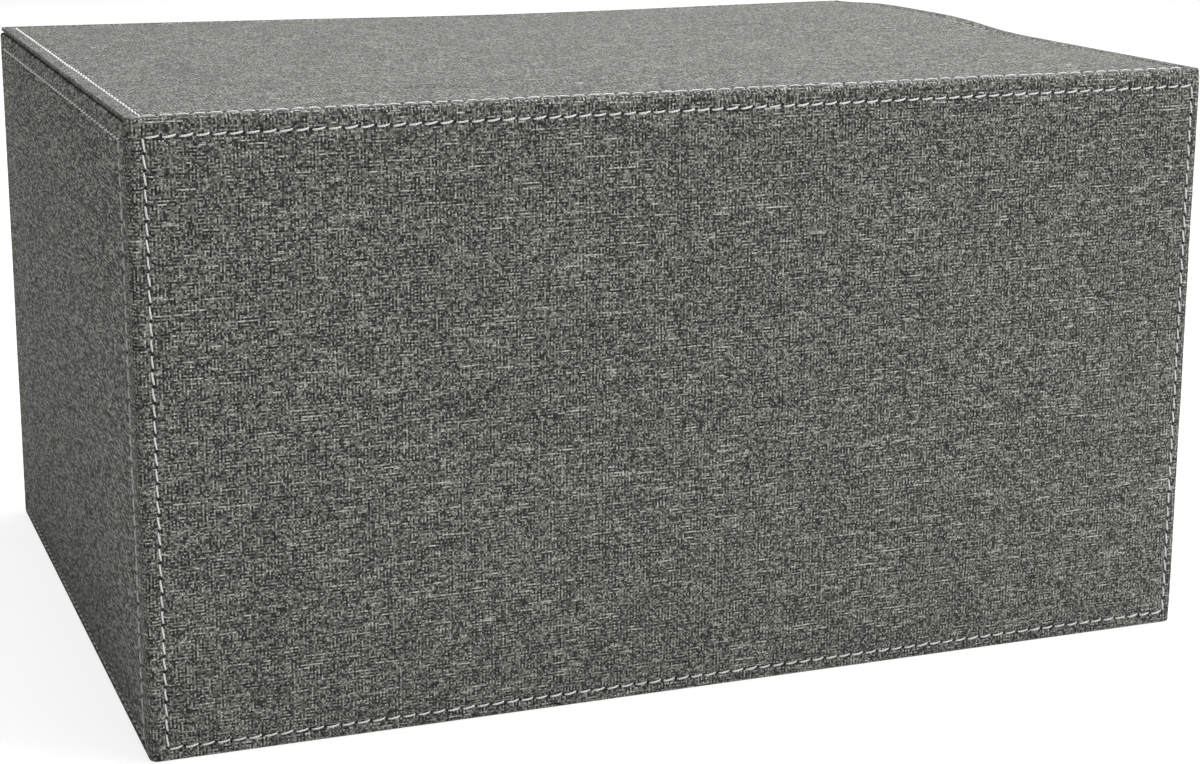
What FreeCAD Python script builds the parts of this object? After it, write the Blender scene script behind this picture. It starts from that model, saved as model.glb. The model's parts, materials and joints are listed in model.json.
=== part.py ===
import FreeCAD, Part
import math
import os

import Sketcher
from FreeCAD import Rotation, Vector

# File box with a hinged lid and a drawer: greyboard panels covered in cloth, glued round an inner
# carcass of thin fibreboard. X is the width, Y the depth with the drawer towards -Y, Z is up, and
# the origin is the centre of the underside. All sizes are millimetres.

doc = FreeCAD.newDocument("file_box")

SIZES = (
    ("box_width", 332, "outside, end wall to end wall"),
    ("box_depth", 252, "outside, front edge to back"),
    ("box_height", 180, "outside, table to the lid's top"),
    ("cloth", 0.5, "thickness of the cover cloth"),
    ("board", 2, "thickness of the greyboard in a covered panel"),
    ("carcass_board", 3, "thickness of the inner carcass's fibreboard"),
    ("lining", 0.5, "thickness of the flannel lining"),
    ("hem", 12, "width of the cloth turned in behind a panel"),
    ("corner_round", 2.5, "radius of the upright back corners and of the lid's fold"),
    ("edge_round", 1.2, "radius of the walls' top and front edges"),
    ("panel_round", 1.1, "radius of the edges of the lid, base, front panel and drawer face"),
    ("lid_side_gap", 0.5, "between the lid and each end wall"),
    ("lid_rest_gap", 0.3, "between the closed lid and the rim it comes down on"),
    ("front_recess", 3, "how far the front panel lies behind the lid's front edge"),
    ("drawer_bay", 62, "clear height under the shelf"),
    ("face_gap", 0.8, "round the drawer's face"),
    ("stop_gap", 0.3, "between the closed drawer's face and the carcass"),
    ("runner_gap", 0.3, "under the drawer"),
    ("drawer_side_gap", 1, "at each side of the drawer"),
    ("drawer_top_gap", 2, "over the drawer's walls"),
    ("drawer_back_gap", 2, "behind the closed drawer"),
    ("drawer_board", 3, "thickness of the drawer's walls"),
    ("drawer_floor", 2.5, "thickness of the drawer's bottom"),
    ("floor_lift", 1.5, "drawer's bottom above the lower edge of its walls"),
    ("groove", 1.2, "depth of the groove that holds the drawer's bottom"),
    ("hinge_leg", 16, "width of the inner hinge strip on the lid and on the wall"),
    ("knob_width", 22, "diameter of the knob's head"),
    ("knob_reach", 20, "knob's length out of the drawer's face"),
    ("knob_foot", 15, "diameter of the knob's foot"),
    ("knob_neck", 8.5, "diameter of the knob's neck"),
    ("knob_edge", 1.4, "height of the foot before it draws in"),
    ("knob_waist", 7.2, "height at which the neck starts"),
    ("knob_flare", 9.2, "height at which the neck opens out to the head"),
    ("knob_rim", 2.2, "height of the rim round the knob's head"),
    ("knob_dome", 40, "radius of the knob's domed end"),
    ("screw_width", 4, "diameter of the knob's screw"),
    ("screw_head", 8, "diameter of the screw's head"),
    ("screw_head_depth", 2.4, "thickness of the screw's head"),
    ("screw_crown", 5.6, "diameter of the flat top of the screw's head"),
    ("screw_shoulder", 1.2, "height of the head's straight rim"),
    ("screw_bite", 9, "length of screw inside the knob"),
    ("bore_spare", 1, "depth of the tapped hole beyond the screw's tip"),
    ("screw_slot", 1.2, "width of the slot in the screw's head"),
    ("slot_depth", 1, "depth of that slot"),
    ("screw_clearance", 0.4, "extra diameter of the holes that the screw passes"),
    ("thread_clearance", 0.1, "extra diameter of the knob's threaded hole"),
    ("washer_width", 13, "diameter of the screw's washer"),
    ("washer_depth", 0.8, "thickness of the washer"),
)


class Length:
    """A length that knows its value and the expression that gives it from the sheet."""

    def __init__(self, text, value):
        self.text = text
        self.value = value

    def __add__(self, other):
        other = as_length(other)
        return Length("(%s + %s)" % (self.text, other.text), self.value + other.value)

    def __sub__(self, other):
        other = as_length(other)
        return Length("(%s - %s)" % (self.text, other.text), self.value - other.value)

    def __mul__(self, factor):
        return Length("(%s * %s)" % (self.text, factor), self.value * factor)

    def __truediv__(self, divisor):
        return Length("(%s / %s)" % (self.text, divisor), self.value / divisor)

    def __neg__(self):
        return Length("(-1 * %s)" % self.text, -self.value)


def as_length(number):
    return number if isinstance(number, Length) else Length(str(number), number)


def write_sheet():
    """Put the driving dimensions in a sheet and return them as lengths, by name."""
    sheet = doc.addObject("Spreadsheet::Sheet", "Sizes")
    lengths = {}
    for row, (name, value, meaning) in enumerate(SIZES, start=1):
        sheet.set("A%d" % row, name)
        sheet.set("B%d" % row, str(value))
        sheet.set("C%d" % row, meaning)
        sheet.setAlias("B%d" % row, name)
        lengths[name] = Length("Sizes." + name, value)
    doc.recompute()
    return lengths


# ---- drawing tools -----------------------------------------------------------------------------

TOUCH = 1e-6
NOTHING = as_length(0)
TURNS = {
    "up": Rotation(),
    "front": Rotation(Vector(1, 0, 0), 90),
    "down": Rotation(Vector(1, 0, 0), 180),
}
subparts = []


def keep(thing, label):
    """Name an object as one of the box's sub-parts."""
    thing.Label = label
    subparts.append(thing)
    return thing


def place(thing, corner, facing="up"):
    """Stand an object's own origin at a corner, with its own +Z facing up, to the front or down."""
    thing.Placement = FreeCAD.Placement(Vector(), TURNS[facing])
    for axis, length in zip("xyz", corner):
        thing.setExpression(".Placement.Base." + axis, length.text)
    return thing


def shifted(corner, facing, along, across, out):
    """A corner moved by lengths that are measured in a panel's own directions."""
    x, y, z = corner
    if facing == "front":
        return (x + along, y - out, z + across)
    if facing == "down":
        return (x + along, y - across, z - out)
    return (x + along, y + across, z + out)


def arc_middle(first, second, radius, side):
    """The middle of an arc between two points; side 1 bulges to the left of the way along."""
    chord = second - first
    half = chord.Length / 2
    sagitta = radius - math.sqrt(radius ** 2 - half ** 2)
    across = Vector(-chord.y, chord.x, 0).normalize()
    return (first + second) * 0.5 + across * (side * sagitta)


def end_at(sketch, edge, point):
    """Which end of an edge, 1 or 2, lies at a point."""
    distances = [(sketch.getPoint(edge, end) - point).Length for end in (1, 2)]
    return 1 + distances.index(min(distances))


def pin(sketch, kind, edge, end, length):
    """Hold one end of an edge at a distance from the sketch's origin, or on its axis."""
    if length.value == 0:
        axis = -2 if kind == "DistanceX" else -1
        sketch.addConstraint(Sketcher.Constraint("PointOnObject", edge, end, axis))
        return
    number = sketch.addConstraint(Sketcher.Constraint(kind, -1, 1, edge, end, length.value))
    sketch.setExpression("Constraints[%d]" % number, length.text)


def outline(body, name, corners, plane="XY_Plane", arcs=None):
    """A closed sketch through corners; arcs gives, by edge number, (radius, side of its bulge)."""
    arcs = arcs or {}
    sketch = body.newObject("Sketcher::SketchObject", name)
    origin_plane = [f for f in body.Origin.OriginFeatures if f.Role == plane][0]
    sketch.AttachmentSupport = [(origin_plane, "")]
    sketch.MapMode = "FlatFace"
    points = [Vector(x.value, y.value, 0) for x, y in corners]
    ends = points[1:] + points[:1]
    for number, (start, end) in enumerate(zip(points, ends)):
        if number in arcs:
            radius, side = arcs[number]
            middle = arc_middle(start, end, radius.value, side)
            sketch.addGeometry(Part.Arc(start, middle, end))
        else:
            sketch.addGeometry(Part.LineSegment(start, end))
    for number, (x, y) in enumerate(corners):
        first = end_at(sketch, number, points[number])
        before = (number - 1) % len(points)
        last = end_at(sketch, before, points[number])
        sketch.addConstraint(Sketcher.Constraint("Coincident", before, last, number, first))
        pin(sketch, "DistanceX", number, first, x)
        pin(sketch, "DistanceY", number, first, y)
    for number, (radius, side) in arcs.items():
        index = sketch.addConstraint(Sketcher.Constraint("Radius", number, radius.value))
        sketch.setExpression("Constraints[%d]" % index, radius.text)
    return sketch


def rectangle(body, name, width, length, left=NOTHING, low=NOTHING):
    right = left + width
    high = low + length
    return outline(body, name, [(left, low), (right, low), (right, high), (left, high)])


def slab(name, width, length, depth):
    """A body with one rectangle, padded upwards from its own origin."""
    body = doc.addObject("PartDesign::Body", name)
    pad = body.newObject("PartDesign::Pad", name + "_pad")
    pad.Profile = rectangle(body, name + "_outline", width, length)
    pad.setExpression("Length", depth.text)
    doc.recompute()
    return body


def round_edges(body, radius, wanted):
    """Fillet those edges of a body that the test picks."""
    solid = body.Tip
    names = ["Edge%d" % n for n, edge in enumerate(solid.Shape.Edges, start=1) if wanted(edge)]
    fillet = body.newObject("PartDesign::Fillet", body.Name + "_round")
    fillet.Base = (solid, names)
    fillet.setExpression("Radius", radius.text)
    doc.recompute()


def pocket(body, name, sketch, depth):
    """Cut a sketch into a body, upwards from the sketch's plane."""
    before = body.Shape.Volume
    cut = body.newObject("PartDesign::Pocket", name)
    cut.Profile = sketch
    cut.setExpression("Length", depth.text)
    cut.Reversed = True
    doc.recompute()
    if body.Shape.Volume > before - TOUCH:
        raise RuntimeError(name + " cuts nothing")


def upright(edge):
    low, high = edge.BoundBox.ZMin, edge.BoundBox.ZMax
    return high - low > TOUCH and edge.BoundBox.XLength + edge.BoundBox.YLength < TOUCH


def level(edge, height):
    return abs(edge.BoundBox.ZMin - height) < TOUCH and abs(edge.BoundBox.ZMax - height) < TOUCH


def block(name, corner, size):
    """A plain block from its lowest corner."""
    box = doc.addObject("Part::Box", name)
    for side, length in zip(("Length", "Width", "Height"), size):
        box.setExpression(side, length.text)
    return place(box, corner)


def rod(name, diameter, length, corner):
    """A cylinder that starts at a point and runs to the front."""
    cylinder = doc.addObject("Part::Cylinder", name)
    cylinder.setExpression("Radius", (diameter / 2).text)
    cylinder.setExpression("Height", length.text)
    return place(cylinder, corner, "front")


def combine(kind, name, first, second):
    result = doc.addObject("Part::" + kind, name)
    result.Base = first
    result.Tool = second
    return result


def cut_away(name, solid, *tools):
    """Cut several solids away from one."""
    for number, tool in enumerate(tools, start=1):
        solid = combine("Cut", "%s_cut_%d" % (name, number), solid, tool)
    return solid


# ---- places that several sub-parts share -------------------------------------------------------

size = write_sheet()
cloth = size["cloth"]
lining = size["lining"]
panel = size["board"] + cloth * 2
half_width = size["box_width"] / 2
half_depth = size["box_depth"] / 2
top = size["box_height"]
bay_half = half_width - panel
room_half = bay_half - size["carcass_board"]
front_edge = -half_depth
front_face = front_edge + size["front_recess"]
carcass_front = front_face + panel
back_inside = half_depth - panel
room_back = back_inside - size["carcass_board"]
floor_top = panel + size["carcass_board"]
shelf_low = floor_top + size["drawer_bay"]
shelf_top = shelf_low + size["carcass_board"]
split = shelf_low + size["carcass_board"] / 2
lid_low = top - panel
rim = lid_low - size["lid_rest_gap"]
lid_half = bay_half - size["lid_side_gap"]
lid_back = half_depth - size["corner_round"]
board_out = half_width - cloth
board_in = board_out - size["board"]


# ---- the covered walls -------------------------------------------------------------------------

def rounded_form(name, inset):
    """The box's outer form, drawn in by an inset, with its upright edges rounded."""
    width = size["box_width"] - inset * 2
    length = size["box_depth"] - inset * 2
    height = top - inset * 2
    body = slab(name, width, length, height)
    back = length.value
    round_edges(body, size["corner_round"] - inset,
                lambda edge: upright(edge) and edge.BoundBox.YMin > back / 2)
    round_edges(body, size["edge_round"] - inset,
                lambda edge: upright(edge) and edge.BoundBox.YMax < back / 2)
    return place(body, (inset - half_width, inset - half_depth, inset))


def make_walls():
    """Three boards in one cloth, which runs round both back corners and is turned in all round."""
    form = rounded_form("wall_form", NOTHING)
    round_edges(form, size["edge_round"], lambda edge: level(edge, top.value))
    core = rounded_form("wall_core", cloth)
    thickness = size["board"]
    tall = top * 2
    deep = size["box_depth"] * 2
    boards = []
    for side, left in (("left", -board_out), ("right", board_in)):
        slice_name = "end_slice_" + side
        side_slice = block(slice_name, (left, -deep, -tall), (thickness, deep * 2, tall * 2))
        board = combine("Common", "end_board_" + side, core, side_slice)
        boards.append(keep(board, "end_board_" + side))
    back_slice = block("back_slice", (-board_in, half_depth - cloth - thickness, -tall),
                       (board_in * 2, thickness, tall + top - size["corner_round"]))
    back = keep(combine("Common", "back_board", core, back_slice), "back_board")

    hem = size["hem"]
    inside = block("wall_inside", (-bay_half, -deep, -tall),
                   (bay_half * 2, deep + back_inside, tall * 2))
    fold = block("wall_fold", (-bay_half, back_inside, top - size["corner_round"]),
                 (bay_half * 2, panel * 2, tall))
    end_windows = block("end_windows", (-board_in, front_edge + hem, hem),
                        (board_in * 2, size["box_depth"] - hem - cloth - thickness, top - hem * 2))
    back_window = block("back_window", (-bay_half, back_inside, hem),
                        (bay_half * 2, cloth, tall))
    cover = cut_away("wall_cover", form, inside, fold, end_windows, back_window, *boards, back)
    keep(cover, "wall_cover")


# ---- covered panels ----------------------------------------------------------------------------

def cut_board(name, width, length, depth, radius, open_back):
    """A slab with rounded corners, apart from those at an open back edge."""
    body = slab(name, width, length, depth)
    back = length.value - TOUCH
    round_edges(body, radius,
                lambda edge: upright(edge) and not (open_back and edge.BoundBox.YMin > back))
    return body


def soft_slab(name, width, length, depth, radius, open_back):
    """A slab whose outer face has rounded edges too, apart from an open back edge."""
    body = cut_board(name, width, length, depth, radius, open_back)
    back = length.value - TOUCH
    round_edges(body, radius, lambda edge: level(edge, depth.value)
                and not (open_back and edge.BoundBox.YMin > back))
    return body


def covered_panel(name, width, length, corner, facing, open_back=False):
    """A board and its cloth, which is turned in by the hem behind each closed edge."""
    hem = size["hem"]
    closed = 1 if open_back else 2
    radius = size["panel_round"]
    form = soft_slab(name + "_form", width, length, panel, radius, open_back)
    window = rectangle(form, name + "_window", width - hem * 2, length - hem * closed, hem, hem)
    pocket(form, name + "_window_cut", window, cloth)
    place(form, corner, facing)
    board = cut_board(name + "_board", width - cloth * 2, length - cloth * closed, size["board"],
                      radius - cloth, open_back)
    place(board, shifted(corner, facing, cloth, cloth, cloth), facing)
    return combine("Cut", name + "_cover", form, board), board


def make_panel(name, *shape, **options):
    """A covered panel whose two pieces are sub-parts as they stand."""
    cover, board = covered_panel(name, *shape, **options)
    keep(board, name + "_board")
    keep(cover, name + "_cover")


def make_base():
    make_panel("base_panel", bay_half * 2, size["box_depth"] - panel,
               (-bay_half, back_inside, panel), "down")


def make_front_panel():
    low = split + size["face_gap"] / 2
    make_panel("front_panel", bay_half * 2, rim - low, (-bay_half, carcass_front, low), "front")


# ---- the carcass -------------------------------------------------------------------------------

def add_board(label, corner, extent):
    body = slab(label, *extent)
    return keep(place(body, corner), label)


def make_carcass():
    """The inner box that carries the panels: sides, back, floor, shelf and inner front wall."""
    thickness = size["carcass_board"]
    height = rim - panel
    depth = back_inside - carcass_front
    for side, left in (("left", -bay_half), ("right", room_half)):
        corner = (left, carcass_front, panel)
        add_board("carcass_side_" + side, corner, (thickness, depth, height))
    add_board("carcass_back", (-room_half, room_back, panel), (room_half * 2, thickness, height))
    room_depth = room_back - carcass_front
    layer = (room_half * 2, room_depth, thickness)
    add_board("carcass_floor", (-room_half, carcass_front, panel), layer)
    add_board("carcass_shelf", (-room_half, carcass_front, shelf_low), layer)
    add_board("carcass_front", (-room_half, carcass_front, shelf_top),
              (room_half * 2, thickness, rim - shelf_top))


def open_tray(name, corner, extent):
    """A thin sheet that lines a floor and the four walls round it."""
    x, y, z = corner
    width, length, height = extent
    outside = block(name + "_outside", corner, extent)
    inside = block(name + "_inside", (x + lining, y + lining, z + lining),
                   (width - lining * 2, length - lining * 2, height))
    return combine("Cut", name, outside, inside)


def make_compartment_lining():
    front = carcass_front + size["carcass_board"]
    tray = open_tray("compartment_lining", (-room_half, front, shelf_top),
                     (room_half * 2, room_back - front, rim - shelf_top))
    keep(tray, "compartment_lining")


# ---- the lid and its hinge ---------------------------------------------------------------------

def make_lid():
    """A covered panel whose cloth runs on at the back, with a lining between its hems."""
    length = lid_back - front_edge
    corner = (-lid_half, front_edge, lid_low)
    make_panel("lid", lid_half * 2, length, corner, "up", open_back=True)
    hem = size["hem"]
    low = lid_low + cloth - lining
    start = front_edge + hem
    sheet = slab("lid_lining", (lid_half - hem) * 2, room_back - lining - start, lining)
    keep(place(sheet, (hem - lid_half, start, low)), "lid_lining")


def make_hinges():
    """The cover's cloth folded over the back edge, and the strip of lining inside the corner."""
    fold = size["corner_round"]
    body = doc.addObject("PartDesign::Body", "hinge_cloth")
    inner = fold - cloth
    corners = [(inner, NOTHING), (fold, NOTHING), (NOTHING, fold), (NOTHING, inner)]
    pad = body.newObject("PartDesign::Pad", "hinge_cloth_pad")
    pad.Profile = outline(body, "hinge_cloth_outline", corners, arcs={1: (fold, -1), 3: (inner, 1)})
    pad.setExpression("Length", (lid_half * 2).text)
    body.Placement = FreeCAD.Placement(Vector(), Rotation(Vector(1, 1, 1), 120))
    for axis, length in zip("xyz", (-lid_half, lid_back, top - fold)):
        body.setExpression(".Placement.Base." + axis, length.text)
    keep(body, "hinge_cloth")

    leg = size["hinge_leg"]
    ceiling = lid_low + cloth - lining
    wall = room_back - lining
    width = (room_half - lining) * 2
    left = lining - room_half
    under_lid = block("hinge_strip_lid", (left, wall - leg, ceiling - lining), (width, leg, lining))
    down_wall = block("hinge_strip_wall", (left, wall - lining, ceiling - leg), (width, lining, leg))
    keep(combine("Fuse", "hinge_lining", under_lid, down_wall), "hinge_lining")


# ---- the drawer --------------------------------------------------------------------------------

drawer_half = room_half - size["drawer_side_gap"]
drawer_inner_half = drawer_half - size["drawer_board"]
drawer_front = carcass_front - size["stop_gap"]
drawer_back = room_back - size["drawer_back_gap"]
drawer_low = floor_top + size["runner_gap"]
drawer_top = shelf_low - size["drawer_top_gap"]
wall_front = drawer_front + size["drawer_board"]
wall_back = drawer_back - size["drawer_board"]
face_low = panel + size["face_gap"]
face_high = split - size["face_gap"] / 2
knob_height = (face_low + face_high) / 2
bottom_low = drawer_low + size["floor_lift"]
bottom_top = bottom_low + size["drawer_floor"]


def screw_hole(name, start, length):
    """The hole that the knob's screw passes, from a point inside the drawer to the front."""
    diameter = size["screw_width"] + size["screw_clearance"]
    return rod(name, diameter, length, (NOTHING, start, knob_height))


def make_drawer_box():
    """Four walls with a groove all round, and the bottom that stands in it."""
    thickness = size["drawer_board"]
    height = drawer_top - drawer_low
    groove = size["groove"]
    bottom_half = drawer_inner_half + groove
    bottom_front = wall_front - groove
    bottom_depth = wall_back + groove - bottom_front
    bottom = slab("drawer_bottom", bottom_half * 2, bottom_depth, size["drawer_floor"])
    keep(place(bottom, (-bottom_half, bottom_front, bottom_low)), "drawer_bottom")
    walls = (
        ("drawer_side_left", (-drawer_half, drawer_front), (thickness, drawer_back - drawer_front)),
        ("drawer_side_right", (drawer_inner_half, drawer_front),
         (thickness, drawer_back - drawer_front)),
        ("drawer_back", (-drawer_inner_half, wall_back), (drawer_inner_half * 2, thickness)),
    )
    for label, (x, y), (width, length) in walls:
        wall = block(label + "_blank", (x, y, drawer_low), (width, length, height))
        keep(combine("Cut", label, wall, bottom), label)
    front = block("drawer_front_blank", (-drawer_inner_half, drawer_front, drawer_low),
                  (drawer_inner_half * 2, thickness, height))
    hole = screw_hole("drawer_front_hole", wall_front + thickness, thickness * 3)
    keep(cut_away("drawer_front", front, bottom, hole), "drawer_front")


def make_drawer_face():
    """The covered face, glued to the drawer's front wall."""
    half = bay_half - size["face_gap"]
    corner = (-half, drawer_front, face_low)
    cover, board = covered_panel("drawer_face_blank", half * 2, face_high - face_low, corner, "front")
    hole = screw_hole("drawer_face_hole", drawer_front + panel, panel * 3)
    keep(combine("Cut", "drawer_face_board", board, hole), "drawer_face_board")
    keep(combine("Cut", "drawer_face_cover", cover, hole), "drawer_face_cover")


def make_drawer_lining():
    tray = open_tray("drawer_lining_sheet", (-drawer_inner_half, wall_front, bottom_top),
                     (drawer_inner_half * 2, wall_back - wall_front, drawer_top - bottom_top))
    hole = screw_hole("drawer_lining_hole", wall_front + lining * 2, lining * 4)
    keep(combine("Cut", "drawer_lining", tray, hole), "drawer_lining")


def turned(name, corners, arcs=None):
    """A body turned round its own Z axis from a half section of radius and height."""
    body = doc.addObject("PartDesign::Body", name)
    sketch = outline(body, name + "_section", corners, "XZ_Plane", arcs)
    lathe = body.newObject("PartDesign::Revolution", name + "_turn")
    lathe.Profile = sketch
    lathe.ReferenceAxis = (sketch, ["V_Axis"])
    lathe.Angle = 360
    doc.recompute()
    return body


def make_knob():
    """A turned knob with a tapped hole for its screw."""
    bore = (size["screw_width"] + size["thread_clearance"]) / 2
    bore_end = size["screw_bite"] + size["bore_spare"]
    foot = size["knob_foot"] / 2
    neck = size["knob_neck"] / 2
    head = size["knob_width"] / 2
    dome = size["knob_dome"]
    crown = Length("(%s - sqrt(%s ^ 2 - %s ^ 2))" % (dome.text, dome.text, head.text),
                   dome.value - math.sqrt(dome.value ** 2 - head.value ** 2))
    rim_high = size["knob_reach"] - crown
    rim_low = rim_high - size["knob_rim"]
    corners = [
        (bore, NOTHING),
        (foot, NOTHING),
        (foot, size["knob_edge"]),
        (neck, size["knob_waist"]),
        (neck, size["knob_flare"]),
        (head, rim_low),
        (head, rim_high),
        (NOTHING, size["knob_reach"]),
        (NOTHING, bore_end),
        (bore, bore_end),
    ]
    knob = turned("knob_blank", corners, {6: (dome, -1)})
    keep(place(knob, (NOTHING, drawer_front - panel, knob_height), "front"), "drawer_knob")


def make_washer(start):
    hole = (size["screw_width"] + size["screw_clearance"]) / 2
    outer = size["washer_width"] / 2
    depth = size["washer_depth"]
    section = [(hole, NOTHING), (outer, NOTHING), (outer, depth), (hole, depth)]
    washer = turned("washer_blank", section)
    keep(place(washer, (NOTHING, start, knob_height), "front"), "knob_washer")


def make_screw(start):
    """The knob's screw, from the top of its slotted head to its tip."""
    shank = size["screw_width"] / 2
    edge = size["screw_head"] / 2
    crown = size["screw_crown"] / 2
    depth = size["screw_head_depth"]
    shoulder = depth - size["screw_shoulder"]
    tip = start - (drawer_front - panel) + size["screw_bite"]
    section = [(NOTHING, NOTHING), (crown, NOTHING), (edge, shoulder), (edge, depth),
               (shank, depth), (shank, tip), (NOTHING, tip)]
    blank = turned("screw_blank", section)
    place(blank, (NOTHING, start, knob_height), "front")
    width = size["screw_slot"]
    cutter = block("screw_slot_cutter", (-edge, start - size["slot_depth"], knob_height - width / 2),
                   (edge * 2, depth, width))
    keep(combine("Cut", "knob_screw", blank, cutter), "knob_screw")


def make_knob_fixing():
    """The washer against the drawer's lining, and the screw through it."""
    washer_back = wall_front + lining + size["washer_depth"]
    make_washer(washer_back)
    make_screw(washer_back + size["screw_head_depth"])


# ---- build, check and write --------------------------------------------------------------------

def check_model():
    """Stop at any object that failed or any sub-part without one valid solid."""
    doc.recompute()
    for thing in doc.Objects:
        if "Invalid" in thing.State or "Error" in thing.State:
            raise RuntimeError("%s failed: %s" % (thing.Label, thing.State))
    for thing in subparts:
        shape = thing.Shape
        if shape.isNull() or not shape.isValid() or len(shape.Solids) != 1:
            raise RuntimeError("%s isn't one valid solid" % thing.Label)


def write_parts():
    os.makedirs("parts", exist_ok=True)
    for thing in subparts:
        thing.Shape.exportStep(os.path.join("parts", thing.Label + ".step"))


make_walls()
make_base()
make_front_panel()
make_carcass()
make_compartment_lining()
make_lid()
make_hinges()
make_drawer_box()
make_drawer_face()
make_drawer_lining()
make_knob()
make_knob_fixing()
check_model()
write_parts()
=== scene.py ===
"""The look of the cloth-covered file box with a drawer: cloth, stitches, felt, boards and knob."""
import json
import math

import bpy
import numpy as np
from mathutils import Matrix, Vector


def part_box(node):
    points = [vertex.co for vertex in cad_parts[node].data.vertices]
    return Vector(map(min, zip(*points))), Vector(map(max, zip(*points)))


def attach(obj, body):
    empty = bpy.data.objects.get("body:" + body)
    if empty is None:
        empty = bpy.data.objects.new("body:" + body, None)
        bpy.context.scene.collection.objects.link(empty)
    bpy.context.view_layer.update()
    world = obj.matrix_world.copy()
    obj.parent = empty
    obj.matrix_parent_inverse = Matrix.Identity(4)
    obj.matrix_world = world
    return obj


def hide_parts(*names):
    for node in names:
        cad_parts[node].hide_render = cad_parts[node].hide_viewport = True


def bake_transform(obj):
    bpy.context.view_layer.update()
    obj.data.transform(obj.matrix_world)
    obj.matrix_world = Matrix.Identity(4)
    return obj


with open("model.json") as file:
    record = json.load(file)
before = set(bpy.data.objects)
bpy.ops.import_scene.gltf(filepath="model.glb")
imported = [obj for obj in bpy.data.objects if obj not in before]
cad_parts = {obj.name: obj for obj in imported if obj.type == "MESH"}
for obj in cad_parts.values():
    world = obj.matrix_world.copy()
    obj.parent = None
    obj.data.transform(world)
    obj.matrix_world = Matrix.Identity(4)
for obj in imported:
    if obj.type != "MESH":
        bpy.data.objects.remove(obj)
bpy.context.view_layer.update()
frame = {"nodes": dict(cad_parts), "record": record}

MM = 0.001

# Outer size of the box body, in millimetres: the frame's own numbers.
HALF_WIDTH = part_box("wall_cover")[1].x / MM
HALF_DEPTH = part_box("wall_cover")[1].y / MM
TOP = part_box("wall_cover")[1].z / MM

# The other sizes that more than one piece needs, in millimetres too.
LID_THICK = 1.4
LID_GAP = 0.3                   # between the closed lid and the walls it comes down on
LID_HALF = HALF_WIDTH - 0.5     # the lid stops just inside the end walls' faces
LID_LOW = TOP - LID_THICK
WALL_TOP = LID_LOW - LID_GAP
LID_FOLD = TOP - WALL_TOP       # radius of the fold of cloth that is the hinge
CORNER = 2.5                    # radius of the upright back corners
CLOTH = 0.5                     # thickness of the cloth
HEM = 12.0                      # how far the cloth is turned in behind a panel
PITCH = 4.5                     # one stitch and its gap
THREAD = 0.25                   # half the thread's thickness
FELT = 0.5                      # thickness of the linings
SHARP_ANGLE = math.radians(50)  # an edge that bends more than this stays crisp


# ---- node graphs --------------------------------------------------------------------------------

SOCKETS = {"metallic": "Metallic", "specular": "Specular IOR Level", "sheen": "Sheen Weight",
           "sheen_roughness": "Sheen Roughness"}


class Graph:
    """Short ways to add nodes to a material and join them."""

    def __init__(self, name):
        self.material = bpy.data.materials.new(name)
        self.material.use_nodes = True
        self.tree = self.material.node_tree
        self.tree.nodes.clear()

    def add(self, kind, sockets=None, **settings):
        node = self.tree.nodes.new("ShaderNode" + kind)
        for key, value in settings.items():
            setattr(node, key, value)
        for key, value in (sockets or {}).items():
            if isinstance(value, bpy.types.NodeSocket):
                self.tree.links.new(value, node.inputs[key])
            else:
                node.inputs[key].default_value = value
        return node

    def calc(self, operation, *values):
        sockets = dict(enumerate(values))
        return self.add("Math", sockets, operation=operation).outputs[0]

    def vector(self, x, y, z):
        return self.add("CombineXYZ", {0: x, 1: y, 2: z}).outputs[0]

    def split(self, name):
        """The three parts of a mesh attribute."""
        source = self.add("Attribute", attribute_name=name).outputs["Vector"]
        parts = self.add("SeparateXYZ", {0: source})
        return parts.outputs[0], parts.outputs[1], parts.outputs[2]

    def noise(self, vector, scale=1.0, detail=2.0, roughness=0.5):
        sockets = {"Vector": vector, "Scale": scale, "Detail": detail, "Roughness": roughness}
        return self.add("TexNoise", sockets).outputs["Fac"]

    def span(self, value, low, high, to_low=0.0, to_high=1.0):
        """Eases from to_low to to_high while the value runs from low to high."""
        sockets = {0: value, 1: low, 2: high, 3: to_low, 4: to_high}
        return self.add("MapRange", sockets, interpolation_type="SMOOTHSTEP").outputs[0]

    def mix(self, factor, a, b):
        sockets = {0: factor, 2: a, 3: b}
        return self.add("Mix", sockets, data_type="FLOAT").outputs[0]

    def ramp(self, value, *stops):
        """A colour for the value, from (place, colour) stops."""
        node = self.add("ValToRGB", {0: value})
        elements = node.color_ramp.elements
        elements[0].position, elements[0].color = stops[0][0], (*stops[0][1], 1)
        elements[1].position, elements[1].color = stops[-1][0], (*stops[-1][1], 1)
        for position, colour in stops[1:-1]:
            elements.new(position).color = (*colour, 1)
        return node.outputs[0]

    def scaled(self, colour, factor):
        sockets = {0: colour, "Scale": factor}
        return self.add("VectorMath", sockets, operation="SCALE").outputs[0]

    def bump(self, height, distance, strength):
        sockets = {"Height": height, "Distance": distance, "Strength": strength}
        return self.add("Bump", sockets).outputs[0]

    def finish(self, colour, normal=None, roughness=0.8, **fixed):
        shader = self.add("BsdfPrincipled", {"Base Color": colour, "Roughness": roughness})
        if normal is not None:
            self.tree.links.new(normal, shader.inputs["Normal"])
        for key, value in fixed.items():
            shader.inputs[SOCKETS[key]].default_value = value
        output = self.add("OutputMaterial")
        self.tree.links.new(shader.outputs[0], output.inputs[0])
        return self.material


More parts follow.
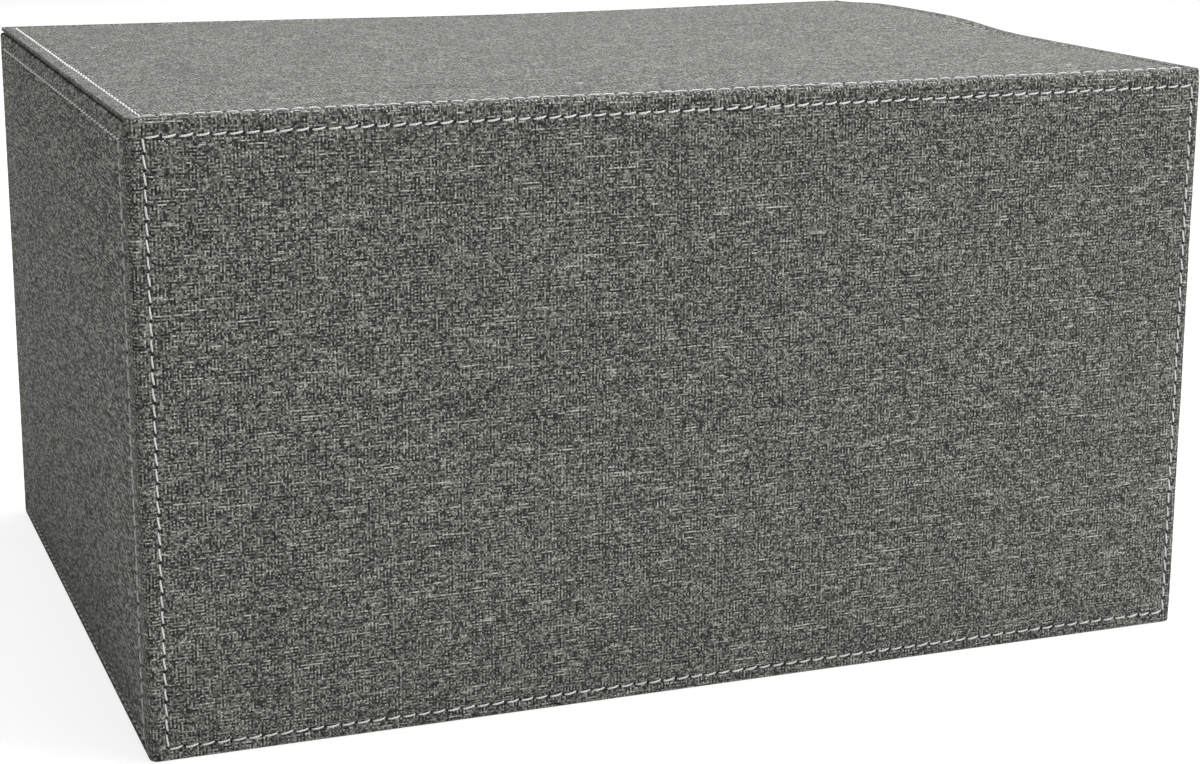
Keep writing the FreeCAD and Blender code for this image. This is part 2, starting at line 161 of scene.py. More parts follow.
# The weave. Lengths are in millimetres, rates in changes per millimetre.
WARP_PITCH, WEFT_PITCH = 0.50, 0.47
DRIFT, DRIFT_RATE = 1.6, 0.12           # how far the yarns wander, counted in yarns
WARP_RATE, WEFT_RATE, SLUB_RATE = 0.28, 0.09, 0.20
TURN_RATE = 0.30                        # of the patches in which warp or weft shows more
PAINTED_RAKE_LENGTH = 2.2                        # of the lengths of weft that catch raking light
CRIMP = 0.6                             # how far a yarn rises where it lies on top
WARP_LAYER, WEFT_LAYER, SLUB_LAYER, PAINTED_RAKE_LAYER = 3.5, 9.5, 21.5, 5.0    # slices of the noise

# How light the yarn is: a middle level, and how much each part moves it. The last part is painted
# raking light on the end walls.
LEVEL = 0.509
TONE, STRIPE, FLECK, SLUB, PAINTED_RAKE = 0.27, 0.05, 0.24, 0.09, 0.30
YARN_SHADES = ((0.34, (0.010, 0.010, 0.009)), (0.45, (0.040, 0.041, 0.037)),
               (0.57, (0.215, 0.219, 0.199)), (0.72, (0.62, 0.625, 0.58)))

# The painted shade round each needle hole: half its length and half its width.
HOLE_SHADE_ALONG, HOLE_SHADE_ASIDE = 0.62, 0.55


def cloth_material():
    """Plain weave of heathered yarns, each of which turns lighter and darker along its length.
    Painted shade lies between the yarns and round each needle hole, and painted raking light lies
    on the end walls.
    """
    g = Graph("heathered_cloth")
    across, along, painted_rake_share = g.split("weave")
    place = g.vector(across, along, 0.0)
    shift = g.calc("MULTIPLY", g.noise(place, DRIFT_RATE, 1.0), DRIFT)
    warp_place = g.calc("ADD", g.calc("DIVIDE", across, WARP_PITCH), shift)
    weft_place = g.calc("SUBTRACT", g.calc("DIVIDE", along, WEFT_PITCH), shift)
    warp_yarn = g.calc("FLOOR", warp_place)
    weft_yarn = g.calc("FLOOR", weft_place)

    warp_wave = g.calc("SINE", g.calc("MULTIPLY", warp_place, math.pi))
    weft_wave = g.calc("SINE", g.calc("MULTIPLY", weft_place, math.pi))
    warp_round = g.calc("ABSOLUTE", warp_wave)
    weft_round = g.calc("ABSOLUTE", weft_wave)
    crossing = g.calc("MULTIPLY", warp_wave, weft_wave)

    def along_yarn(yarn, place, layer, rate, detail):
        """A value that changes slowly along each yarn and has nothing to do with the next one."""
        lane = g.calc("MULTIPLY_ADD", yarn, 2.0, 0.5)
        return g.noise(g.vector(lane, g.calc("MULTIPLY", place, rate), layer), 1.0, detail)

    warp_tone = along_yarn(warp_yarn, along, WARP_LAYER, WARP_RATE, 2.0)
    weft_tone = along_yarn(weft_yarn, across, WEFT_LAYER, WEFT_RATE, 4.0)
    weft_slub = g.span(along_yarn(weft_yarn, across, SLUB_LAYER, SLUB_RATE, 0.0), 0.65, 0.75)
    on_top = g.span(g.calc("SUBTRACT", crossing, g.calc("MULTIPLY", weft_slub, 0.9)), -0.2, 0.2)
    tone = g.calc("SUBTRACT", g.mix(on_top, weft_tone, warp_tone), 0.5)
    roundness = g.mix(on_top, weft_round, warp_round)
    turned = g.span(g.noise(place, TURN_RATE, 1.0), 0.40, 0.60)
    stripe = g.mix(turned, weft_wave, warp_wave)
    tuft = g.vector(warp_yarn, weft_yarn, 0.0)
    fleck = g.calc("SUBTRACT", g.add("TexWhiteNoise", {"Vector": tuft}).outputs[0], 0.5)
    level = g.calc("MULTIPLY_ADD", tone, TONE, LEVEL)
    level = g.calc("MULTIPLY_ADD", stripe, STRIPE, level)
    level = g.calc("MULTIPLY_ADD", fleck, FLECK, level)
    level = g.calc("MULTIPLY_ADD", weft_slub, SLUB, level)
    # Painted raking light: on the end walls, lengths of weft are painted lighter or darker, as if
    # light raking across the cloth picked them out.
    length = g.calc("FLOOR", g.calc("DIVIDE", across, PAINTED_RAKE_LENGTH))
    strand = g.vector(length, weft_yarn, PAINTED_RAKE_LAYER)
    painted_rake_grain = g.add("TexWhiteNoise", {"Vector": strand}).outputs[0]
    painted_rake_grain = g.calc("MULTIPLY", g.calc("SUBTRACT", painted_rake_grain, 0.5), painted_rake_share)
    level = g.calc("MULTIPLY_ADD", painted_rake_grain, PAINTED_RAKE, level)

    yarn = g.ramp(level, *YARN_SHADES)
    # Painted shade: the yarns are darker in the gaps between them and lighter on their round tops.
    shade = g.span(roundness, 0.0, 0.9, 0.45, 1.15)
    colour = g.scaled(yarn, shade)

    # Painted shade: the cloth's colour is darkened round each needle hole along the rows of
    # stitches.
    phase, distance, _ = g.split("seam")
    nearest = g.calc("ABSOLUTE", g.calc("SUBTRACT", phase, g.calc("ROUND", phase)))
    beside = g.calc("MULTIPLY", nearest, PITCH / HOLE_SHADE_ALONG)
    aside = g.calc("DIVIDE", distance, HOLE_SHADE_ASIDE)
    reach = g.calc("SQRT", g.calc("ADD", g.calc("MULTIPLY", beside, beside),
                                  g.calc("MULTIPLY", aside, aside)))
    colour = g.scaled(colour, g.span(reach, 0.5, 1.15, 0.16, 1.0))

    warp_high = g.calc("ADD", warp_round, g.calc("MULTIPLY", crossing, CRIMP))
    weft_high = g.calc("SUBTRACT", weft_round, g.calc("MULTIPLY", crossing, CRIMP))
    height = g.calc("MAXIMUM", warp_high, weft_high)
    normal = g.bump(height, 0.00012, 0.55)
    return g.finish(colour, normal, 0.86, specular=0.2, sheen=0.08,
                    sheen_roughness=0.5)


def thread_material():
    """Off-white twisted sewing thread."""
    g = Graph("sewing_thread")
    along, around, _ = g.split("weave")
    twist = g.calc("SINE", g.calc("ADD", g.calc("MULTIPLY", along, 9.0), around))
    blotch = g.noise(g.vector(along, 0.0, 0.0), 0.4, 2.0)
    base = g.ramp(blotch, (0.3, (0.85, 0.865, 0.84)), (0.7, (0.95, 0.965, 0.94)))
    # Painted shade: the thread is darker in the grooves of its twist, where its bump dips.
    colour = g.scaled(base, g.span(twist, -1.0, 1.0, 0.8, 1.0))
    return g.finish(colour, g.bump(twist, 0.00008, 0.6), 0.62, specular=0.35,
                    sheen=0.1)


def felt_material():
    """Soft grey lining felt: short tangled fibres. Noise scales are per metre from here on."""
    g = Graph("lining_felt")
    place = g.add("TexCoord").outputs["Object"]
    fibre = g.noise(place, 1500.0, 6.0, 0.75)
    cloud = g.noise(place, 45.0, 3.0, 0.6)
    base = g.ramp(fibre, (0.32, (0.022, 0.022, 0.022)), (0.68, (0.095, 0.096, 0.095)))
    colour = g.scaled(base, g.span(cloud, 0.3, 0.7, 0.86, 1.08))
    return g.finish(colour, g.bump(fibre, 0.0004, 0.5), 0.95, specular=0.1,
                    sheen=0.45, sheen_roughness=0.6)


def board_material(name, dark, light, scale):
    """Pressed fibre board: flecks and faint clouds."""
    g = Graph(name)
    place = g.add("TexCoord").outputs["Object"]
    fleck = g.noise(place, scale, 7.0, 0.7)
    cloud = g.noise(place, 30.0, 3.0)
    base = g.ramp(fleck, (0.30, dark), (0.70, light))
    colour = g.scaled(base, g.span(cloud, 0.3, 0.7, 0.9, 1.06))
    return g.finish(colour, g.bump(fleck, 0.0002, 0.4), 0.78, specular=0.3)


def metal_material(name, colour, low, high):
    """Satin metal: a fine grain, and faint smears that shine a little more or less."""
    g = Graph(name)
    place = g.add("TexCoord").outputs["Object"]
    smear = g.noise(place, 220.0, 4.0, 0.6)
    fine = g.noise(place, 2400.0, 2.0)
    roughness = g.span(smear, 0.3, 0.7, low, high)
    tint = g.ramp(smear, (0.3, tuple(c * 0.9 for c in colour)), (0.7, colour))
    return g.finish(tint, g.bump(fine, 0.00003, 0.25), roughness, metallic=1.0)


cloth = cloth_material()
thread = thread_material()
felt = felt_material()
greyboard = board_material("grey_board", (0.17, 0.16, 0.145), (0.38, 0.36, 0.33), 900.0)
fibreboard = board_material("fibre_board", (0.16, 0.105, 0.062), (0.36, 0.255, 0.16), 1200.0)
knob_metal = metal_material("satin_nickel", (0.60, 0.585, 0.555), 0.24, 0.40)
zinc = metal_material("zinc_plate", (0.52, 0.53, 0.55), 0.30, 0.48)


# ---- meshes -------------------------------------------------------------------------------------

WELD_REACH = 0.0004     # points nearer than this are one
LINE_GAP = 0.3          # least distance from a grid's edge to its next line
NEAR_A_ROW = (-4.5, -3.0, -2.0, -1.2, -0.6, 0.0, 0.6, 1.2, 2.0, 3.0, 4.5)


def make_object(name, points, faces, material, attributes=()):
    """A smooth object from points in millimetres; attributes are (name, one vector a point)."""
    mesh = bpy.data.meshes.new(name)
    mesh.from_pydata((np.asarray(points, float) * MM).tolist(), [], [list(f) for f in faces])
    for label, values in attributes:
        layer = mesh.attributes.new(label, "FLOAT_VECTOR", "POINT")
        layer.data.foreach_set("vector", np.asarray(values, np.float32).ravel())
    mesh.materials.append(material)
    mesh.polygons.foreach_set("use_smooth", [True] * len(mesh.polygons))
    thing = bpy.data.objects.new(name, mesh)
    bpy.context.scene.collection.objects.link(thing)
    return thing


def apply_all(thing):
    """Bakes the modifiers into the mesh."""
    bpy.context.view_layer.update()
    graph = bpy.context.evaluated_depsgraph_get()
    mesh = bpy.data.meshes.new_from_object(thing.evaluated_get(graph))
    thing.modifiers.clear()
    thing.data = mesh
    mesh.set_sharp_from_angle(angle=SHARP_ANGLE)


def weld(thing):
    """Joins points that coincide and drops the faces that close up."""
    bpy.context.view_layer.objects.active = thing
    modifier = thing.modifiers.new("weld", "WELD")
    modifier.merge_threshold = WELD_REACH * MM
    apply_all(thing)


def thicken(thing, thickness):
    """Gives a skin its thickness, behind the face that it has."""
    modifier = thing.modifiers.new("thickness", "SOLIDIFY")
    modifier.thickness = thickness * MM
    modifier.offset = -1.0
    modifier.use_even_offset = False
    apply_all(thing)


def spread(low, high, step, rows=()):
    """Grid lines about a step apart, closer together next to each row of stitches."""
    keys = sorted({low, high} | {round(row + d, 4) for row in rows for d in NEAR_A_ROW
                                 if low + LINE_GAP < row + d < high - LINE_GAP})
    lines = []
    for a, b in zip(keys, keys[1:]):
        count = max(1, round((b - a) / step))
        lines += [a + (b - a) * k / count for k in range(count)]
    return np.array(lines + [high])


def grid_faces(number):
    """The squares between neighbours in a grid of point numbers."""
    rows, columns = number.shape
    return [(number[i, j], number[i + 1, j], number[i + 1, j + 1], number[i, j + 1])
            for i in range(rows - 1) for j in range(columns - 1)]


def ripple(s, t, seed, wave=60.0):
    """A slow unevenness from -1 to 1, the same on every run."""
    k = 2 * math.pi / wave
    total = (np.sin(k * (s * 0.83 + t * 0.41) + seed)
             + np.sin(k * (s * 0.37 - t * 0.92) + seed * 2.3 + 1.0)
             + np.sin(k * 1.9 * (s * 0.55 + t * 0.67) + seed * 3.1) * 0.6)
    return total / 2.6


def smooth(value, low, high):
    """Eases from 0 to 1 while the value runs from low to high."""
    x = np.clip((value - low) / (high - low), 0, 1)
    return x * x * (3 - 2 * x)


# The cloth's relief: how deep or high, and how wide, each of its forms is.
UNEVEN = 0.10                                   # the slow unevenness of the whole face
CROWN_REACH = 38                                # the face is at its full height this far in
STEP_UP, STEP_REACH = 0.16, 4                   # the rise just inside a row of stitches
SEAM_DEPTH, SEAM_WIDTH = 0.30, 1.0              # the dent under a row
TIGHT_DEPTH = 0.6                               # what a tight row adds to it
PUFF, PUFF_AT, PUFF_WIDTH = 0.07, 2.6, 1.6      # the swell beside a row
FAR = 50.0                                      # a distance at which no seam shows
ROUND_THE_EDGE = -1.0                           # cloth this far behind the face has no seam
UNFOUND = 1e3                                   # farther than any row

# A stitch: its lean in degrees, how far it bows aside, how it stands out of the cloth in the
# middle, and how deep its ends go in.
LEAN, LEAN_VARIES = 8.0, 4.0
BELLY = 0.18
RISE, ARCH, DIVE = 0.12, 0.20, 0.42


class Frame:
    """A stitched rectangle on a panel, in the panel's own coordinates.

    skip names the rows that it doesn't have, tight those that are drawn in more than the others.
    """

    def __init__(self, low_s, high_s, low_t, high_t, skip=(), tight=()):
        self.low_s, self.high_s, self.low_t, self.high_t = low_s, high_s, low_t, high_t
        self.skip, self.tight = skip, tight

    def runs(self):
        """The start and end of each row, in the panel's plane."""
        a, b, c, d = self.low_s, self.high_s, self.low_t, self.high_t
        every = {"low": ((a, c), (b, c)), "high": ((a, d), (b, d)),
                 "left": ((a, c), (a, d)), "right": ((b, c), (b, d))}
        return [run for name, run in every.items() if name not in self.skip]

    def seam(self, s, t):
        """For each point, how many stitches along the nearest row it lies, and how far off."""
        best = np.full(s.shape, UNFOUND)
        phase = np.zeros(s.shape)
        for (s0, t0), (s1, t1) in self.runs():
            length = abs(s1 - s0) + abs(t1 - t0)
            count = round(length / PITCH)
            along = (s - s0) if t0 == t1 else (t - t0)
            aside = np.abs(t - t0) if t0 == t1 else np.abs(s - s0)
            beyond = np.maximum(np.maximum(-along, along - length), 0)
            away = np.hypot(aside, beyond)
            nearer = away < best
            best = np.where(nearer, away, best)
            phase = np.where(nearer, along / length * count, phase)
        return phase, best

    def pull(self, s, t):
        """Extra depth of the rows that are drawn in tighter than the others."""
        aside = {"low": t - self.low_t, "high": t - self.high_t,
                 "left": s - self.low_s, "right": s - self.high_s}
        return sum((TIGHT_DEPTH * np.exp(-(aside[name] / SEAM_WIDTH) ** 2)
                    for name in self.tight), np.zeros(s.shape))

    def inside(self, s, t):
        """How far a point lies inside the rectangle; negative outside."""
        return np.minimum(np.minimum(s - self.low_s, self.high_s - s),
                          np.minimum(t - self.low_t, self.high_t - t))


class Panel:
    """A covered panel: a slab with rolled edges, stitched frames and a soft face, bent into place.

    s and t run over its face and n points out of it, all in millimetres. place turns them into
    points of the object, and warp moves those a little more. The edge is rolled by a radius of
    edge, and the face's corners are rounded by corner. crown is how far the middle stands out.
    """

    def __init__(self, name, low, high, thickness, edge, place, frames=(), crown=0.5, seed=0.0,
                 step=7.0, corner=0.8, lines_s=(), lines_t=(), warp=None, painted_rake_from=1e6):
        self.name, self.low, self.high = name, low, high
        self.thickness, self.edge, self.place = thickness, edge, place
        self.frames, self.crown, self.seed = frames, crown, seed
        self.corner, self.warp, self.painted_rake_from = corner, warp, painted_rake_from
        rows_s = [v for f in frames for v in (f.low_s, f.high_s)]
        rows_t = [v for f in frames for v in (f.low_t, f.high_t)]
        self.flat_low = (low[0] + edge, low[1] + edge)
        self.flat_high = (high[0] - edge, high[1] - edge)
        self.s_lines = self.grid(0, rows_s, step, lines_s)
        self.t_lines = self.grid(1, rows_t, step, lines_t)

    def grid(self, axis, rows, step, extra):
        """The face's grid lines: closer by the rows and corners, and one at each extra place."""
        low, high = self.flat_low[axis], self.flat_high[axis]
        stops = [low] + sorted(v for v in extra if low < v < high) + [high]
        reach = 5
        lines = []
        for a, b in zip(stops, stops[1:]):
            near = [row for row in rows if a - reach < row < b + reach]
            lines += list(spread(a, b, step, near))[:-1]
        ends = [low + self.corner * f for f in (0.5, 1)]
        ends += [high - self.corner * f for f in (0.5, 1)]
        return np.array(sorted(set(np.round(lines + [high] + ends, 4))))

    def painted_rake_share(self, s):
        """How much raking light is painted into the cloth's colour: 1 on the walls' two ends,
        otherwise 0.
        """
        return smooth(np.abs(s), self.painted_rake_from, self.painted_rake_from + 2.0)

    def relief(self, s, t):
        """How far the cloth stands out: soft middle, pulled in under each row of stitches."""
        out = ripple(s, t, self.seed) * UNEVEN
        for number, zone in enumerate(self.frames):
            inside = zone.inside(s, t)
            _, away = zone.seam(s, t)
            out = out + self.crown * smooth(inside, 0, CROWN_REACH)
            out = out + STEP_UP * smooth(inside, 0, STEP_REACH)
            out = out - SEAM_DEPTH * np.exp(-(away / SEAM_WIDTH) ** 2) - zone.pull(s, t)
            near = np.exp(-((away - PUFF_AT) / PUFF_WIDTH) ** 2)
            out = out + near * PUFF * (1 + ripple(s * 3.1, t * 3.1, number + self.seed, 41.0))
        border = np.minimum(np.minimum(s - self.low[0], self.high[0] - s),
                            np.minimum(t - self.low[1], self.high[1] - t))
        return out * smooth(border, -0.5, 2.2)

    def lift(self, s, t, n):
        """The object's points for places on the panel."""
        points = self.place(s, t, n)
        if self.warp is not None:
            points = self.warp(points)
        return points

    def face_points(self):
        """The face's grid, with the corners rounded."""
        s, t = np.meshgrid(self.s_lines, self.t_lines, indexing="ij")
        q = self.corner
        near_s = np.minimum(s - self.flat_low[0], self.flat_high[0] - s)
        near_t = np.minimum(t - self.flat_low[1], self.flat_high[1] - t)
        a, b = (q - near_s) / q, (q - near_t) / q
        corner = (a > 0) & (b > 0)
        a, b = np.where(corner, a, 0), np.where(corner, b, 0)
        side_s = np.where(s - self.flat_low[0] < self.flat_high[0] - s, -1, 1)
        side_t = np.where(t - self.flat_low[1] < self.flat_high[1] - t, -1, 1)
        s = s + side_s * q * (a * np.sqrt(1 - b * b / 2) - a)
        t = t + side_t * q * (b * np.sqrt(1 - a * a / 2) - b)
        return s, t

    def border(self):
        """Grid indices round the face, as one loop."""
        rows, columns = len(self.s_lines), len(self.t_lines)
        loop = [(i, 0) for i in range(rows)]
        loop += [(rows - 1, j) for j in range(1, columns)]
        loop += [(i, columns - 1) for i in range(rows - 2, -1, -1)]
        loop += [(0, j) for j in range(columns - 2, 0, -1)]
        return np.array(loop)

    def rings(self):
        """(outward, depth) of each ring of the rolled edge, then (inset, depth) of the hem."""
        e, deep = self.edge, self.thickness
        roll = [(e * math.sin(a), e * (1 - math.cos(a))) for a in np.radians((22, 45, 68, 90))]
        roll += [(o, deep - d) for o, d in reversed(roll[:3])]
        if deep - 2 * e > 0.05:
            roll.insert(4, (e, deep - e))
        hem = [(-d, deep) for d in (0, 1.2, 4.0, HEM - e)]
        return roll + hem

    def skin(self, open_at):
        """Points (s, t, n) and faces of the cloth: the face, then its rolled edge and its hem."""
        s, t = self.face_points()
        number = np.arange(s.size).reshape(s.shape)
        points = [np.stack([s.ravel(), t.ravel(), self.relief(s, t).ravel()], 1)]
        faces = grid_faces(number)
        loop = self.border()
        rim_s, rim_t = s[loop[:, 0], loop[:, 1]], t[loop[:, 0], loop[:, 1]]
        core_s = np.clip(rim_s, self.flat_low[0] + self.corner, self.flat_high[0] - self.corner)
        core_t = np.clip(rim_t, self.flat_low[1] + self.corner, self.flat_high[1] - self.corner)
        way = np.stack([rim_s - core_s, rim_t - core_t], 1)
        way /= np.linalg.norm(way, axis=1)[:, None]
        skip = np.zeros(len(loop), bool)
        if open_at is not None:
            skip = open_at(rim_s, rim_t)
        last = number[loop[:, 0], loop[:, 1]]
        count = s.size
        for outward, depth in self.rings():
            if outward > 0:
                ring_s, ring_t = rim_s + way[:, 0] * outward, rim_t + way[:, 1] * outward
            else:
                inset = -outward
                ring_s = np.clip(rim_s, self.flat_low[0] + inset, self.flat_high[0] - inset)
                ring_t = np.clip(rim_t, self.flat_low[1] + inset, self.flat_high[1] - inset)
            points.append(np.stack([ring_s, ring_t, np.full(len(loop), -depth)], 1))
            ring = np.arange(count, count + len(loop))
            count += len(loop)
            for k in range(len(loop)):
                nxt = (k + 1) % len(loop)
                if not (skip[k] and skip[nxt]):
                    faces.append((last[nxt], last[k], ring[k], ring[nxt]))
            last = ring
        return np.concatenate(points), faces

    def coats(self, flat):
        """What the cloth's material reads at each point: its place in the weave with its share of
        painted raking light, and its seam for the painted shade round the needle holes.
        """
        s, t, n = flat[:, 0], flat[:, 1], flat[:, 2]
        weave = np.stack([s, t + np.minimum(n, 0), self.painted_rake_share(s)], 1)
        phase, away = np.zeros(len(flat)), np.full(len(flat), FAR)
        for zone in self.frames:
            zone_phase, zone_away = zone.seam(s, t)
            nearer = zone_away < away
            phase = np.where(nearer, zone_phase, phase)
            away = np.where(nearer, zone_away, away)
        away = np.where(n < ROUND_THE_EDGE, FAR, away)
        return ("weave", weave), ("seam", np.stack([phase, away, 0 * phase], 1))

    def cover(self, material, open_at=None):
        """The panel's cloth as an object. open_at tells where the edge isn't rolled."""
        flat, faces = self.skin(open_at)
        placed = self.lift(flat[:, 0], flat[:, 1], flat[:, 2])
        thing = make_object(self.name, placed, self.oriented(faces, placed, flat), material,
                            self.coats(flat))
        weld(thing)
        thicken(thing, CLOTH)
        return thing

    def oriented(self, faces, placed, flat):
        """The faces with their front outwards."""
        middle = (np.array(self.low) + np.array(self.high)) / 2
        around = np.argmin(np.hypot(flat[:, 0] - middle[0], flat[:, 1] - middle[1]))
        face = next(f for f in faces if around in f)
        a, b, c = (placed[k] for k in face[:3])
        s, t = flat[around, :1], flat[around, 1:2]
        out = self.lift(s, t, np.array([1.0]))[0] - self.lift(s, t, np.array([0.0]))[0]
        if np.dot(np.cross(b - a, c - b), out) < 0:
            return [tuple(reversed(f)) for f in faces]
        return faces

    def stitches(self, name, material):
        """Every stitch of the panel as one object: short arched beads between needle holes."""
        points, faces, coats = [], [], []
        count = 0
        for number, zone in enumerate(self.frames):
            for (s0, t0), (s1, t1) in zone.runs():
                length = abs(s1 - s0) + abs(t1 - t0)
                steps = round(length / PITCH)
                ds, dt = (s1 - s0) / steps, (t1 - t0) / steps
                for k in range(steps):
                    centre = (s0 + ds * (k + 0.5), t0 + dt * (k + 0.5))
                    bead, skin = self.bead(centre, math.atan2(dt, ds), length / steps,
                                           k * 1.7 + number * 5.3 + s0 + t1)
                    points.append(bead)
                    coats.append(skin)
                    faces += [tuple(v + count for v in f) for f in BEAD_FACES]
                    count += len(bead)
        return make_object(name, np.concatenate(points), faces, material,
                           (("weave", np.concatenate(coats)),))

    def bead(self, centre, angle, pitch, seed):
        """One stitch: its points, and where each lies along and round the thread."""
        wobble = math.sin(seed * 12.9898) * 43758.5453
        wobble -= math.floor(wobble)
        half = pitch * (0.425 + 0.02 * wobble)
        lean = -math.radians(LEAN + LEAN_VARIES * (wobble - 0.5))
        q = BEAD[:, 0]
        radius = THREAD * (1 - 0.62 * np.abs(q) ** 5) * (0.95 + 0.12 * wobble)
        along = q * half
        aside = np.cos(BEAD[:, 1]) * radius * BEAD[:, 2] * 1.12 + math.tan(lean) * along
        aside = aside - BELLY * (1 - q * q)
        ds = along * math.cos(angle) - aside * math.sin(angle)
        dt = along * math.sin(angle) + aside * math.cos(angle)
        s, t = centre[0] + ds, centre[1] + dt
        base = self.relief(np.array([centre[0]]), np.array([centre[1]]))[0]
        arch = ARCH * (1 - q * q) - DIVE * np.abs(q) ** 8
        high = base + RISE + arch + np.sin(BEAD[:, 1]) * radius * BEAD[:, 2]
        skin = np.stack([along + centre[0], BEAD[:, 1], 0 * q], 1)
        return self.lift(s, t, high), skin


def bead_form():
    """A unit thread bead: (place along, angle round, how wide) of each point, and its faces."""
    stations = (-0.97, -0.9, -0.7, -0.35, 0.0, 0.35, 0.7, 0.9, 0.97)
    sides = 8
    points = [(-1.0, 0.0, 0.0)]
    points += [(q, 2 * math.pi * k / sides, 1.0) for q in stations for k in range(sides)]
    points.append((1.0, 0.0, 0.0))
    faces = []
    for k in range(sides):
        nxt = (k + 1) % sides
        faces.append((0, 1 + nxt, 1 + k))
        for ring in range(len(stations) - 1):
            low = 1 + ring * sides
            faces.append((low + k, low + nxt, low + sides + nxt, low + sides + k))
        low = 1 + (len(stations) - 1) * sides
        faces.append((low + k, low + nxt, len(points) - 1))
    return np.array(points), faces


BEAD, BEAD_FACES = bead_form()


# ---- where the panels lie -----------------------------------------------------------------------

BACK_RUN = HALF_WIDTH - CORNER
CORNER_RUN = CORNER * math.pi / 2
SIDE_START = BACK_RUN + CORNER_RUN
SIDE_END = SIDE_START + HALF_DEPTH * 2 - CORNER


def on_walls(s, t, n):
    """s runs round the left end, the back and the right end; t is the height."""
    side = np.sign(s)
    run = np.abs(s)
    turn = np.clip((run - BACK_RUN) / CORNER, 0, math.pi / 2)
    radius = np.maximum(CORNER + n, 0.0)
    x = np.minimum(run, BACK_RUN) + radius * np.sin(turn)
    y = HALF_DEPTH - CORNER + radius * np.cos(turn) - np.maximum(run - SIDE_START, 0)
    straight = run <= BACK_RUN
    y = np.where(straight, HALF_DEPTH + n, y)
    x = np.where(run >= SIDE_START, HALF_WIDTH + n, x)
    return np.stack([side * x, y, t], 1)


FOLD = HALF_DEPTH - LID_FOLD
FOLD_RUN = LID_FOLD * math.pi / 2


def on_lid(s, t, n):
    """s runs across the lid, t from its front edge over the fold to the walls' top.

    At its two ends the fold draws in, as the back's corners do.
    """
    turn = np.clip((t - FOLD) / LID_FOLD, 0, math.pi / 2)
    radius = np.maximum(LID_FOLD + n, 0.0)
    over = np.clip(np.abs(s) - BACK_RUN, 0, CORNER)
    pull = CORNER - np.sqrt(CORNER ** 2 - over ** 2)
    y = np.minimum(t, FOLD) + (radius - pull) * np.sin(turn)
    z = WALL_TOP + radius * np.cos(turn) - np.maximum(t - FOLD - FOLD_RUN, 0)
    z = np.where(t <= FOLD, TOP + n, z)
    return np.stack([s, y, z], 1)


# The lid's warp: how far each part of it goes, where it is strongest and how far it reaches.
SAG, SAG_X, SAG_WIDTH = 1.2, -30, 95.0
BOW, BOW_Y, BOW_WIDTH, BOW_FROM = 2.3, -55, 52.0, 40.0
CORNER_RISE, RISE_FROM = 0.2, 90.0
STILL = 20                              # this much of the lid next to the hinge stays flat


def lid_warp(points):
    """The lid isn't quite flat: its front edge sags and one end bows up off its wall."""
    x, y = points[:, 0], points[:, 1]
    forward = smooth(HALF_DEPTH - STILL - y, 0, HALF_DEPTH * 2 - STILL)
    sag = SAG * forward ** 2 * np.exp(-((x - SAG_X) / SAG_WIDTH) ** 2)
    bow = BOW * np.exp(-((y - BOW_Y) / BOW_WIDTH) ** 4) * smooth(-x, BOW_FROM, LID_HALF)
    corner = CORNER_RISE * forward * smooth(x, RISE_FROM, LID_HALF)
    lifted = points.copy()
    lifted[:, 2] += bow + corner - sag
    return lifted


def facing(origin, axis_s, axis_t, axis_n):
    """A flat panel's placement, from an origin and its three directions."""
    origin, axis_s, axis_t, axis_n = (np.array(v, float) for v in (origin, axis_s, axis_t, axis_n))

    def place(s, t, n):
        return (origin + np.outer(s, axis_s) + np.outer(t, axis_t) + np.outer(n, axis_n))

    return place


# ---- the covered pieces -------------------------------------------------------------------------

def show(thing, body, slot, *nodes):
    """Sets a finished piece on its body, in place of its CAD nodes."""
    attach(thing, body)
    if nodes:
        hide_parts(*nodes)


# How far the rows of stitches lie from the edges, read from the photo.
BACK_LEFT, BACK_RIGHT, BACK_LOW, BACK_HIGH = 3.45, 5.0, 3.8, 5.1
END_BACK, END_FRONT, END_LOW, END_HIGH = 9.6, 6.5, 3.2, 6.8
LID_END, LID_FRONT, LID_BACK = 5.0, 5.0, 3.7
FACE_MARGINS = (5.0, 5.0, 4.5, 4.5)     # left, right, low, high; a guess, as they are hidden

WALL_EDGE, LID_EDGE, FACE_EDGE = 0.8, 0.45, 1.1     # radius of each panel's rolled edge
WALL_DEPTH = 3.0                                    # of the walls' rolled edge


def make_walls():
    """The cloth round the end walls and the back, with its stitches."""
    back = Frame(-(HALF_WIDTH - BACK_LEFT), HALF_WIDTH - BACK_RIGHT, BACK_LOW, TOP - BACK_HIGH)
    near = SIDE_START + END_BACK - CORNER
    far = SIDE_END - END_FRONT
    left = Frame(-far, -near, END_LOW, TOP - END_HIGH, skip=("left",))
    right = Frame(near, far, END_LOW, TOP - END_HIGH, skip=("right",))
    edge = WALL_EDGE
    notch_out, notch_in, notch_start = LID_HALF + 0.2, LID_HALF - 0.4, WALL_TOP - 3.0

    def place(s, t, n):
        """The back's top edge runs up straight to where the lid's cloth takes over."""
        middle = 1 - smooth(np.abs(s), notch_in, notch_out)
        upper = np.clip((t - notch_start) / (WALL_TOP - edge - notch_start), 0, 1)
        return on_walls(s, t + middle * upper * edge, n)

    lines = [side * v for side in (-1, 1) for v in
             (notch_in, notch_out, BACK_RUN, BACK_RUN + CORNER_RUN * 0.25,
              BACK_RUN + CORNER_RUN * 0.5, BACK_RUN + CORNER_RUN * 0.75, SIDE_START)]
    panel = Panel("wall_wrap", (-SIDE_END, 0.0), (SIDE_END, WALL_TOP), WALL_DEPTH, edge, place,
                  (back, left, right), crown=0.55, seed=1.3, lines_s=lines,
                  lines_t=(notch_start,), painted_rake_from=SIDE_START)

    def open_top(s, t):
        return (t > WALL_TOP - edge - 0.01) & (np.abs(s) <= notch_in + 0.01)

    show(panel.cover(cloth, open_top), "box", "cover_cloth", "wall_cover")
    show(panel.stitches("wall_stitches", thread), "box", "cover_cloth")


